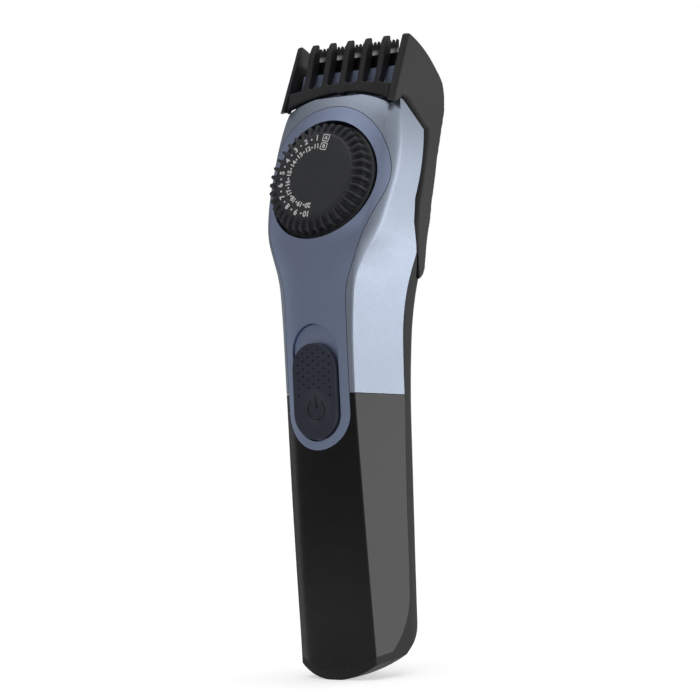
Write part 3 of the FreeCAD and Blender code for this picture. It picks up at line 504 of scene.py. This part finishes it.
def rounded_square(half_x, half_y, corner, level, count=6):
    points = []
    for quarter in range(4):
        sign_x = 1 if quarter in (0, 3) else -1
        sign_y = 1 if quarter in (0, 1) else -1
        for step in range(count):
            angle = math.pi / 2.0 * (quarter + step / (count - 1))
            x = sign_x * (half_x - corner) + corner * math.cos(angle)
            y = sign_y * (half_y - corner) + corner * math.sin(angle)
            points.append(Vector((x, y, level)))
    return points


def add_mesh(shape, mesh, matrix):
    mesh.transform(matrix)
    shape.from_mesh(mesh)
    bpy.data.meshes.remove(mesh)


def add_rings(shape, rings, matrix):
    skin_rings(shape, [[matrix @ (point * MM) for point in ring] for ring in rings])


def make_print():
    shape = bmesh.new()
    for step in range(DIGITS):
        angle = FIRST_DIGIT + DIGIT_STEP * step
        outer = str(step + 1)
        inner = str(step + DIGITS + 1)
        add_mesh(shape, letter_mesh(outer, OUTER_HEIGHT), face_matrix(angle, OUTER_RING))
        add_mesh(shape, letter_mesh(inner, INNER_HEIGHT), face_matrix(angle, INNER_RING))
        if step < DIGITS - 1:
            for radius in (OUTER_RING, INNER_RING):
                middle = face_matrix(angle + DIGIT_STEP / 2.0, radius)
                add_rings(shape, dot_rings(DOT_RADIUS, INK_LIFT), middle)
    for text, radius, angle in BOXED:
        matrix = face_matrix(angle, radius)
        add_mesh(shape, letter_mesh(text, BOXED_HEIGHT), matrix)
        box_rings = [
            rounded_square(*BOX_OUTSIDE, 0.0),
            rounded_square(*BOX_OUTSIDE, INK_LIFT),
            rounded_square(*BOX_INSIDE, INK_LIFT),
            rounded_square(*BOX_INSIDE, 0.0),
            rounded_square(*BOX_OUTSIDE, 0.0),
        ]
        add_rings(shape, box_rings, matrix)
    bmesh.ops.remove_doubles(shape, verts=shape.verts, dist=0.001 * MM)
    made = add_object("dial_numerals", mesh_from("dial_numerals", shape, False), "ink", "dial")


make_print()

# ---------------------------------------------------------------- power switch

SWITCH_LOW, SWITCH_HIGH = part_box("power_switch")
SWITCH_HALF = SWITCH_HIGH.x / MM - 0.1
SWITCH_BASE = SWITCH_LOW.z / MM + 0.2
SWITCH_TOP = SWITCH_HIGH.z / MM - 0.3
SWITCH_FRONT = SWITCH_LOW.y / MM + 0.5
SWITCH_BACK = SWITCH_FRONT + 1.85
CROWN = 140.0
EDGE = 0.35
DISH_LEVEL = SWITCH_BASE + 7.8
DISH_REACH = 5.8
DISH_DEPTH = 0.95
DIMPLE_COLUMNS = 7
DIMPLE_START = SWITCH_BASE + 11.5
DIMPLE_MARGIN = 0.9
DIMPLE_REACH = 0.42
DIMPLE_DEPTH = 0.5
DIMPLE_PITCH = 1.66
DIMPLE_RISE = 2.0
SYMBOL_RING = 2.75
SYMBOL_STROKE = 0.4
SYMBOL_GAP = 38.0
SYMBOL_DEPTH = 0.14
BAR_START = 0.2


def edge_distance(x, z):
    middle = min(max(z, SWITCH_BASE + SWITCH_HALF), SWITCH_TOP - SWITCH_HALF)
    return SWITCH_HALF - math.hypot(x, z - middle)


def dimple_places():
    places = []
    for column in range(DIMPLE_COLUMNS):
        x = (column - DIMPLE_COLUMNS // 2) * DIMPLE_PITCH
        z = DIMPLE_START + (DIMPLE_RISE / 2.0 if column % 2 else 0.0)
        while z < SWITCH_TOP:
            if edge_distance(x, z) > DIMPLE_MARGIN:
                places.append((x, z))
            z += DIMPLE_RISE
    return places


DIMPLES = [
    place
    for place in dimple_places()
    if math.hypot(place[0], place[1] - DISH_LEVEL) > DISH_REACH
]


def in_symbol(x, z):
    """1 in the middle of the power symbol's strokes, falling to 0 at their edges."""
    dz = z - DISH_LEVEL
    radius = math.hypot(x, dz)
    ring = 1.0 - abs(radius - SYMBOL_RING) / SYMBOL_STROKE
    if dz > 0 and abs(math.degrees(math.atan2(x, dz))) < SYMBOL_GAP:
        ring = 0.0
    bar = 1.0 - abs(x) / SYMBOL_STROKE
    if dz < BAR_START or dz > SYMBOL_RING + 0.9:
        bar = 0.0
    return smooth_step(1.8 * max(ring, bar))


def switch_front(x, z):
    """Front surface of the switch: crowned, rounded at its edge, with a dish, dimples and symbol."""
    y = SWITCH_FRONT + CROWN - math.sqrt(CROWN**2 - x * x)
    inside = max(edge_distance(x, z), 0.0)
    if inside < EDGE:
        y += EDGE - math.sqrt(max(EDGE**2 - (EDGE - inside) ** 2, 0.0))
    y += DISH_DEPTH * smooth_step(1.25 * (1.0 - math.hypot(x, z - DISH_LEVEL) / DISH_REACH))
    for spot_x, spot_z in DIMPLES:
        if abs(x - spot_x) < DIMPLE_REACH and abs(z - spot_z) < DIMPLE_REACH:
            reach = math.hypot(x - spot_x, z - spot_z) / DIMPLE_REACH
            y += DIMPLE_DEPTH * smooth_step(1.2 * (1.0 - reach))
    y += SYMBOL_DEPTH * in_symbol(x, z)
    return y


def make_switch():
    shape = bmesh.new()
    columns = 150
    rows = 250
    levels = []
    length = SWITCH_TOP - SWITCH_BASE
    for row in range(rows + 1):
        share = row / rows
        eased = 0.5 - 0.5 * math.cos(math.pi * share)
        levels.append(SWITCH_BASE + length * (0.35 * eased + 0.65 * share))
    grid = []
    for z in levels:
        middle = min(max(z, SWITCH_BASE + SWITCH_HALF), SWITCH_TOP - SWITCH_HALF)
        half = math.sqrt(max(SWITCH_HALF**2 - (z - middle) ** 2, 0.0))
        if half < 0.001:
            grid.append([(0.0, z)] * (columns + 1))
            continue
        line = []
        for column in range(columns + 1):
            share = 2.0 * column / columns - 1.0
            eased = math.sin(math.pi / 2.0 * share)
            line.append((half * (0.45 * eased + 0.55 * share), z))
        grid.append(line)
    front = []
    for line in grid:
        front.append([shape.verts.new((x * MM, switch_front(x, z) * MM, z * MM)) for x, z in line])
    for below, above in zip(front, front[1:]):
        for index in range(columns):
            shape.faces.new((below[index], below[index + 1], above[index + 1], above[index]))
    left = [line[0] for line in front]
    right = [line[-1] for line in front]
    rim = left + right[::-1]
    backs = [shape.verts.new((vert.co.x, SWITCH_BACK * MM, vert.co.z)) for vert in rim]
    for index in range(len(rim)):
        after = (index + 1) % len(rim)
        shape.faces.new((rim[index], rim[after], backs[after], backs[index]))
    shape.faces.new(backs)
    bmesh.ops.remove_doubles(shape, verts=shape.verts, dist=0.002 * MM)
    bmesh.ops.dissolve_degenerate(shape, edges=shape.edges, dist=0.002 * MM)
    cap = add_object("switch_cap", mesh_from("switch_cap", shape), "switch", "switch")
    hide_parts("power_switch")


make_switch()


def make_symbol():
    """Inlaid power symbol: a ring open at the top and a bar."""
    shape = bmesh.new()
    half = SYMBOL_STROKE * 0.62

    def strip(points, normals):
        rings = []
        for (x, z), (nx, nz) in zip(points, normals):
            ring = []
            for side, lift in ((-1, 0.05), (-1, -0.02), (1, -0.02), (1, 0.05)):
                px = x + side * half * nx
                pz = z + side * half * nz
                ring.append(Vector((px, switch_front(x, z) + lift, pz)) * MM)
            rings.append(ring)
        skin_rings(shape, rings)
        for ring in (rings[0], rings[-1]):
            shape.faces.new([shape.verts.new(point) for point in ring])

    turns = [math.radians(SYMBOL_GAP + (360.0 - 2 * SYMBOL_GAP) * step / 60) for step in range(61)]
    places = [
        (SYMBOL_RING * math.sin(turn), DISH_LEVEL + SYMBOL_RING * math.cos(turn)) for turn in turns
    ]
    strip(places, [(math.sin(turn), math.cos(turn)) for turn in turns])
    bar = [(0.0, DISH_LEVEL + BAR_START + (SYMBOL_RING + 0.6) * step / 10) for step in range(11)]
    strip(bar, [(1.0, 0.0)] * len(bar))
    bmesh.ops.remove_doubles(shape, verts=shape.verts, dist=0.001 * MM)
    made = add_object("power_symbol", mesh_from("power_symbol", shape), "holder", "switch")


make_symbol()

# ---------------------------------------------------------------- attachment comb

# Lower edge of the comb's side as (depth, height) in the head's frame.
COMB_RIM = (
    (3.5, 20.2),
    (8.9, 24.3),
    (10.3, 24.3),
    (19.9, 19.3),
    (19.9, 8.0),
    (20.4, -0.5),
    (22.2, -5.8),
    (25.8, -10.5),
    (28.4, -13.6),
    (31.2, -18.7),
)
COMB_FRONT = ((3.5, 20.2), (6.1, 40.9))
WALL_INSIDE = 16.5
WALL_OUTSIDE = 18.8
# Depth at which the wall's rounded lower rim begins, how far the rounding reaches and what it takes away.
RIM_START = 8.0
RIM_REACH = 2.2
RIM_SHARE = 0.6
CORNER = 1.8
# Height below which the pointed front tip of a wall is lifted, and by what share.
TIP_TOP = 21.6
TIP_LIFT = 0.7
# The front band: its depth and top, where it starts to flare into the walls, and how far.
BAND_DEPTH = 7.2
BAND_TOP = 30.5
BAND_BLEND = 2.0
FLARE_START = 9.0
FLARE = 0.75


def line_distance(spot, line):
    best = 100.0
    for start, end in zip(line, line[1:]):
        run = Vector(end) - Vector(start)
        along = min(max((spot - Vector(start)).dot(run) / run.length_squared, 0.0), 1.0)
        best = min(best, (spot - Vector(start) - run * along).length)
    return best


def rim_loss(distance, reach):
    """Share of the wall's thickness lost at a distance from its rounded rim."""
    share = min(distance / reach, 1.0)
    return 1.0 - math.sqrt(max(1.0 - (1.0 - share) ** 2, 0.0))


def soften_walls(mesh):
    """Rounds the outside of the side walls toward their rims and blends the front band into them."""
    for vert in mesh.vertices:
        local = vert.co - DIAL_CENTRE / MM
        spot = Vector((local.dot(INWARD), local.dot(UPWARD)))
        across = abs(vert.co.x)
        if across > WALL_INSIDE:
            if spot.x > RIM_START:
                loss = RIM_SHARE * rim_loss(line_distance(spot, COMB_RIM), RIM_REACH)
                kept = WALL_INSIDE + (across - WALL_INSIDE) * (1.0 - loss)
                vert.co.x = math.copysign(kept, vert.co.x)
            share = (across - WALL_INSIDE + 0.3) / (WALL_OUTSIDE - WALL_INSIDE + 0.3)
            swept = CORNER * (1.0 - math.sqrt(max(1.0 - share * share, 0.0)))
            reach = line_distance(spot, COMB_FRONT) / (2.0 * CORNER)
            vert.co += INWARD * swept * max(1.0 - reach, 0.0)
            if spot.x < RIM_START:
                vert.co += UPWARD * TIP_LIFT * max(TIP_TOP - spot.y, 0.0)
        elif spot.x < BAND_DEPTH and spot.y < BAND_TOP and across > FLARE_START:
            flare = smooth_step((across - FLARE_START) / (WALL_INSIDE - FLARE_START))
            vert.co -= INWARD * FLARE * flare * smooth_step((BAND_TOP - spot.y) / BAND_BLEND)


def moulded_comb(name, voxel, passes, keep):
    """The CAD comb's mesh with its edges softened, as a moulding's are."""
    mesh = frame["nodes"]["attachment_comb"].data.copy()
    mesh.materials.clear()
    mesh.transform(Matrix.Scale(1.0 / MM, 4))
    obj = bpy.data.objects.new(name, mesh)
    bpy.context.scene.collection.objects.link(obj)
    remesh = obj.modifiers.new("remesh", "REMESH")
    remesh.mode = "VOXEL"
    remesh.voxel_size = voxel
    shown = obj.evaluated_get(bpy.context.evaluated_depsgraph_get())
    dense = bpy.data.meshes.new_from_object(shown)
    soften_walls(dense)
    obj.modifiers.remove(remesh)
    obj.data = dense
    relax = obj.modifiers.new("relax", "SMOOTH")
    relax.factor = 0.5
    relax.iterations = passes
    thin = obj.modifiers.new("thin", "DECIMATE")
    thin.ratio = keep
    shown = obj.evaluated_get(bpy.context.evaluated_depsgraph_get())
    final = bpy.data.meshes.new_from_object(shown)
    final.transform(Matrix.Scale(MM, 4))
    bpy.data.objects.remove(obj)
    for face in final.polygons:
        face.use_smooth = True
    final.name = name
    return final


comb_mesh = moulded_comb("comb_moulding", 0.22, 9, 0.35)
comb = add_object("comb_moulding", comb_mesh, "comb", "comb")
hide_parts("attachment_comb")

# ---------------------------------------------------------------- floor, light and camera


def disc(name, radius, look):
    mesh = bpy.data.meshes.new(name)
    shape = bmesh.new()
    bmesh.ops.create_circle(shape, cap_ends=True, segments=96, radius=radius)
    shape.to_mesh(mesh)
    shape.free()
    obj = bpy.data.objects.new(name, mesh)
    bpy.context.scene.collection.objects.link(obj)
    mesh.materials.append(look)
    return obj


def floor_finish():
    finish = Finish("floor_matt")
    cloud = finish.ranged(finish.noise(0.3, 3.0), 0.0, 1.0)
    finish.colour(finish.mixed(cloud, (0.86, 0.86, 0.86), (0.89, 0.89, 0.89)))
    finish.rough(finish.ranged(finish.noise(0.01, 3.0), 0.8, 0.9))
    finish.set(Emission_Color=(1.0, 1.0, 1.0, 1.0), Emission_Strength=0.5)
    return finish.material


floor = disc("floor", 6.0, floor_finish())
floor.location.z = cad_box[0].z
floor.visible_glossy = False
floor.visible_diffuse = False


def softbox(name, place, aim, width, height, power):
    data = bpy.data.lights.new(name, "AREA")
    data.shape = "RECTANGLE"
    data.size = width
    data.size_y = height
    data.energy = power
    obj = bpy.data.objects.new(name, data)
    bpy.context.scene.collection.objects.link(obj)
    obj.location = place
    obj.rotation_mode = "QUATERNION"
    obj.rotation_quaternion = (Vector(aim) - Vector(place)).to_track_quat("-Z", "Y")


MIDDLE = Vector((0.0, 0.0, 0.085))
softbox("key", (0.8, 0.68, 0.0), MIDDLE, 0.6, 0.9, 2.9)
softbox("front", (-0.5, -0.8, 0.85), MIDDLE, 0.6, 0.4, 0.7)
softbox("edge", (-1.1, -0.25, 0.1), MIDDLE, 0.2, 1.0, 0.3)

overhead = bpy.data.lights.new("overhead", "SUN")
overhead.energy = 0.9
overhead.angle = math.radians(70.0)
overhead_lamp = bpy.data.objects.new("overhead", overhead)
bpy.context.scene.collection.objects.link(overhead_lamp)


def studio_world():
    """White to the eye; as light, bright behind the object's right and dim in front of its left."""
    world = bpy.data.worlds.new("studio")
    bpy.context.scene.world = world
    world.use_nodes = True
    tree = world.node_tree
    place = tree.nodes.new("ShaderNodeTexCoord")
    along = tree.nodes.new("ShaderNodeVectorMath")
    along.operation = "DOT_PRODUCT"
    along.inputs[1].default_value = Vector((0.68, 0.7, 0.25)).normalized()
    tree.links.new(place.outputs["Generated"], along.inputs[0])
    glow = tree.nodes.new("ShaderNodeMapRange")
    glow.interpolation_type = "SMOOTHSTEP"
    glow.inputs["From Min"].default_value = -0.6
    glow.inputs["From Max"].default_value = 0.9
    glow.inputs["To Min"].default_value = 0.18
    glow.inputs["To Max"].default_value = 0.5
    tree.links.new(along.outputs["Value"], glow.inputs["Value"])
    split = tree.nodes.new("ShaderNodeSeparateXYZ")
    tree.links.new(place.outputs["Generated"], split.inputs["Vector"])
    table = tree.nodes.new("ShaderNodeMapRange")
    table.interpolation_type = "SMOOTHSTEP"
    table.inputs["From Min"].default_value = -0.13
    table.inputs["From Max"].default_value = -0.22
    table.inputs["To Max"].default_value = 0.35
    tree.links.new(split.outputs["Z"], table.inputs["Value"])
    total = tree.nodes.new("ShaderNodeMath")
    tree.links.new(glow.outputs["Result"], total.inputs[0])
    tree.links.new(table.outputs["Result"], total.inputs[1])
    seen = tree.nodes.new("ShaderNodeLightPath")
    pick = tree.nodes.new("ShaderNodeMix")
    pick.inputs["B"].default_value = 1.0
    tree.links.new(seen.outputs["Is Camera Ray"], pick.inputs["Factor"])
    tree.links.new(total.outputs["Value"], pick.inputs["A"])
    tree.links.new(pick.outputs["Result"], tree.nodes["Background"].inputs["Strength"])
    tree.nodes["Background"].inputs["Color"].default_value = (1.0, 1.0, 1.0, 1.0)


studio_world()

bpy.context.scene.view_settings.view_transform = "Standard"

YAW = math.radians(35.534)
PITCH = math.radians(-0.39)
ROLL = math.radians(-2.418)
DISTANCE = 0.65404
SHIFTED = (-1.4875 * MM, -0.864 * MM)
AIM = Vector((0.0, -5.2 * MM, 85.0 * MM))

back = Vector((math.sin(YAW) * math.cos(PITCH), -math.cos(YAW) * math.cos(PITCH), math.sin(PITCH)))
right = Vector((math.cos(YAW), math.sin(YAW), 0.0))
up = back.cross(right)
rolled_right = math.cos(ROLL) * right + math.sin(ROLL) * up
rolled_up = math.cos(ROLL) * up - math.sin(ROLL) * right

lens = bpy.data.cameras.new("camera")
lens.lens = 127.194
lens.sensor_width = 36.0
lens.clip_start = 0.01
lens.clip_end = 50.0
camera = bpy.data.objects.new("camera", lens)
bpy.context.scene.collection.objects.link(camera)
spot = AIM - SHIFTED[0] * rolled_right - SHIFTED[1] * rolled_up + DISTANCE * back
turn = Matrix((rolled_right, rolled_up, back)).transposed()
camera.matrix_world = Matrix.Translation(spot) @ turn.to_4x4()
bpy.context.scene.camera = camera
